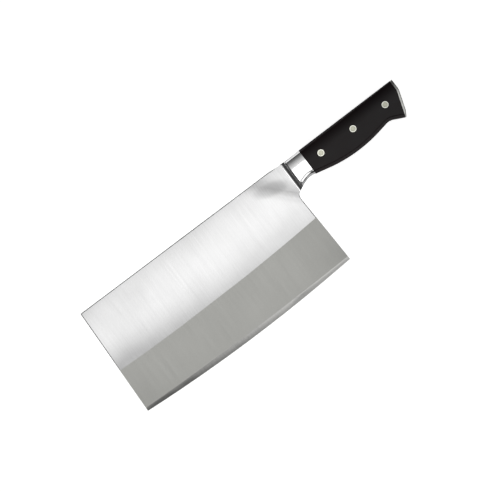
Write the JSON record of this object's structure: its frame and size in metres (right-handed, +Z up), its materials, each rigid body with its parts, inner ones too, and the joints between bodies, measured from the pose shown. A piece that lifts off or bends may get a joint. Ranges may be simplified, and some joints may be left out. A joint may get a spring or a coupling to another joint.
{
  "type": "meat cleaver",
  "caption": "Broad rectangular kitchen cleaver with a half-depth bevel, steel bolster, black riveted scales on a full tang and a bent steel butt cap.",
  "frame": {"origin": "middle of the underside of the whole cleaver as it lies on its right side: centre of its length and depth, at the height of the right scale's outer face", "axes": "+X along the spine from the toe towards the butt, +Y from the edge towards the spine, +Z up through the thickness, out of the blade's left side"},
  "size_m": [0.3298, 0.1032, 0.0175],
  "materials": {
    "satin_steel": "stainless steel, satin ground across the blade, brighter above the bevel",
    "polished_steel": "stainless steel, bright polished",
    "black_handle": "black, satin, smooth",
    "rivet_metal": "nickel silver, ground flush"
  },
  "bodies": {
    "root": {"blade": "satin_steel", "left_bolster": "polished_steel", "right_bolster": "polished_steel", "butt_cap": "polished_steel", "left_scale": "black_handle", "right_scale": "black_handle", "front_rivet_sleeve": "rivet_metal", "front_rivet_pin": "rivet_metal", "middle_rivet_sleeve": "rivet_metal", "middle_rivet_pin": "rivet_metal", "rear_rivet_sleeve": "rivet_metal", "rear_rivet_pin": "rivet_metal"}
  },
  "joints": []
}
